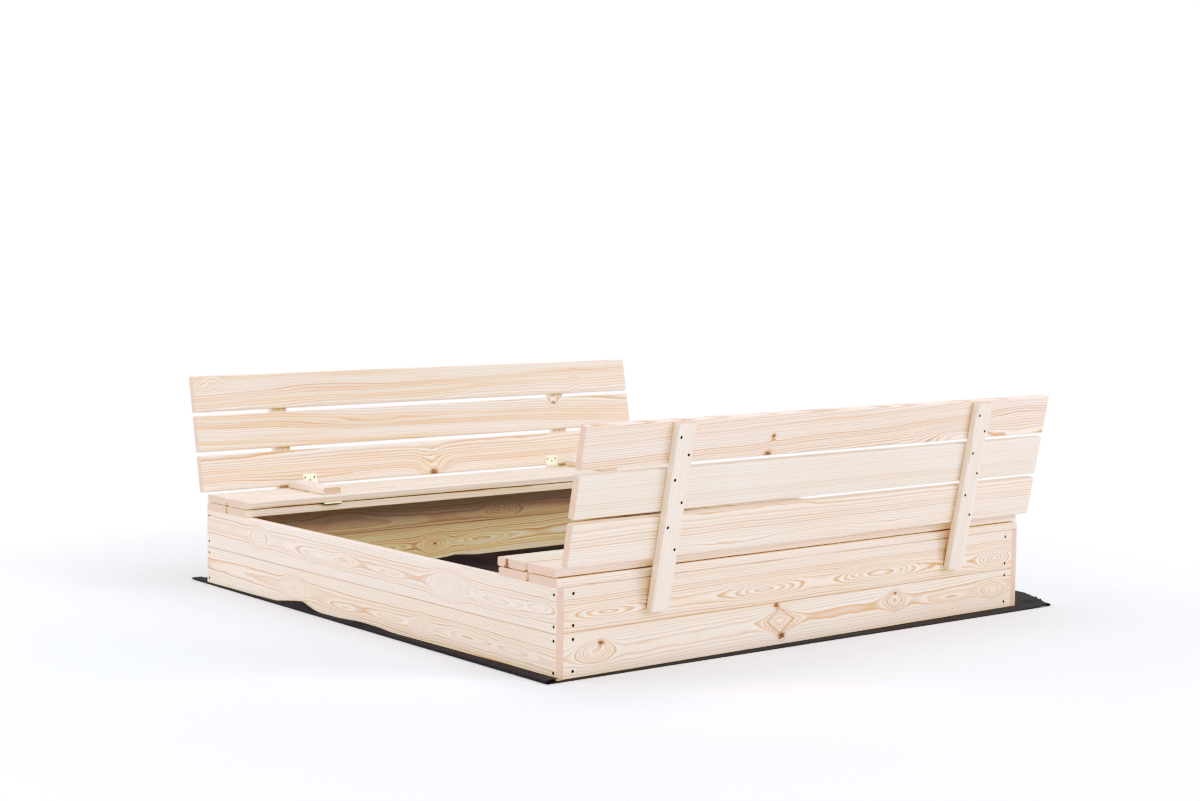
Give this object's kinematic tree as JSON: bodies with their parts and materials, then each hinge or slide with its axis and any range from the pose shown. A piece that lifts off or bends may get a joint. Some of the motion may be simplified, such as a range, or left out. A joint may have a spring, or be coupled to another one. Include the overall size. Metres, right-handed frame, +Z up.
{
  "type": "wooden sandbox with folding bench cover",
  "caption": "Square low wooden sandbox; its two-part plank cover unfolds on hinges into two facing bench seats with leaning backrests, over a ground cloth.",
  "frame": {"origin": "on the ground under the middle of the square box, which is the middle of the whole object", "axes": "+Z up; X along the benches; -Y towards the front bench and +Y towards the rear bench"},
  "size_m": [1.6412, 1.59, 0.5123],
  "materials": {
    "pine": "planed, untreated",
    "screw_steel": "dull",
    "hinge_metal": "yellow zinc plated",
    "ground_cloth": "matte non-woven"
  },
  "bodies": {
    "box": {"front_post_left": "pine", "front_post_right": "pine", "front_seat_hinge_pins": "hinge_metal", "front_seat_hinge_seat_plates": "hinge_metal", "front_seat_plank_inner": "pine", "front_seat_plank_outer": "pine", "front_wall_lower": "pine", "front_wall_upper": "pine", "ground_cloth": "ground_cloth", "left_wall_lower": "pine", "left_wall_upper": "pine", "rear_post_left": "pine", "rear_post_right": "pine", "rear_seat_hinge_pins": "hinge_metal", "rear_seat_hinge_seat_plates": "hinge_metal", "rear_seat_plank_inner": "pine", "rear_seat_plank_outer": "pine", "rear_wall_lower": "pine", "rear_wall_upper": "pine", "right_wall_lower": "pine", "right_wall_upper": "pine", "seat_hinge_screws": "hinge_metal", "seat_screws": "screw_steel", "wall_screws": "screw_steel"},
    "front_lid": {"front_back_hinge_lid_plates": "hinge_metal", "front_back_hinge_pins": "hinge_metal", "front_cleat_screws": "screw_steel", "front_lid_cleat_left": "pine", "front_lid_cleat_right": "pine", "front_lid_hinge_screws": "hinge_metal", "front_lid_plank_inner": "pine", "front_lid_plank_outer": "pine", "front_seat_hinge_lid_plates": "hinge_metal"},
    "front_back": {"front_back_batten_left": "pine", "front_back_batten_right": "pine", "front_back_hinge_back_plates": "hinge_metal", "front_back_hinge_screws": "hinge_metal", "front_back_plank_lower": "pine", "front_back_plank_middle": "pine", "front_back_plank_upper": "pine", "front_batten_screws": "screw_steel"},
    "rear_lid": {"rear_back_hinge_lid_plates": "hinge_metal", "rear_back_hinge_pins": "hinge_metal", "rear_cleat_screws": "screw_steel", "rear_lid_cleat_left": "pine", "rear_lid_cleat_right": "pine", "rear_lid_hinge_screws": "hinge_metal", "rear_lid_plank_inner": "pine", "rear_lid_plank_outer": "pine", "rear_seat_hinge_lid_plates": "hinge_metal"},
    "rear_back": {"rear_back_batten_left": "pine", "rear_back_batten_right": "pine", "rear_back_hinge_back_plates": "hinge_metal", "rear_back_hinge_screws": "hinge_metal", "rear_back_plank_lower": "pine", "rear_back_plank_middle": "pine", "rear_back_plank_upper": "pine", "rear_batten_screws": "screw_steel"}
  },
  "joints": [
    {"name": "front_lid_fold", "type": "hinge", "parent": "box", "child": "front_lid", "pos_m": [0, -0.503, 0.2043], "axis": [-1, 0, 0], "range_deg": [0, 180]},
    {"name": "front_back_fold", "type": "hinge", "parent": "front_lid", "child": "front_back", "pos_m": [0, -0.7015, 0.2243], "axis": [1, 0, 0], "range_deg": [0, 78.8]},
    {"name": "rear_lid_fold", "type": "hinge", "parent": "box", "child": "rear_lid", "pos_m": [0, 0.503, 0.2043], "axis": [1, 0, 0], "range_deg": [0, 180]},
    {"name": "rear_back_fold", "type": "hinge", "parent": "rear_lid", "child": "rear_back", "pos_m": [0, 0.7015, 0.2243], "axis": [-1, 0, 0], "range_deg": [0, 78.8]}
  ],
  "couplings": [
    {"joint": "front_back_fold", "follows": "front_lid_fold", "ratio": 0.4377},
    {"joint": "rear_back_fold", "follows": "rear_lid_fold", "ratio": 0.4377}
  ]
}
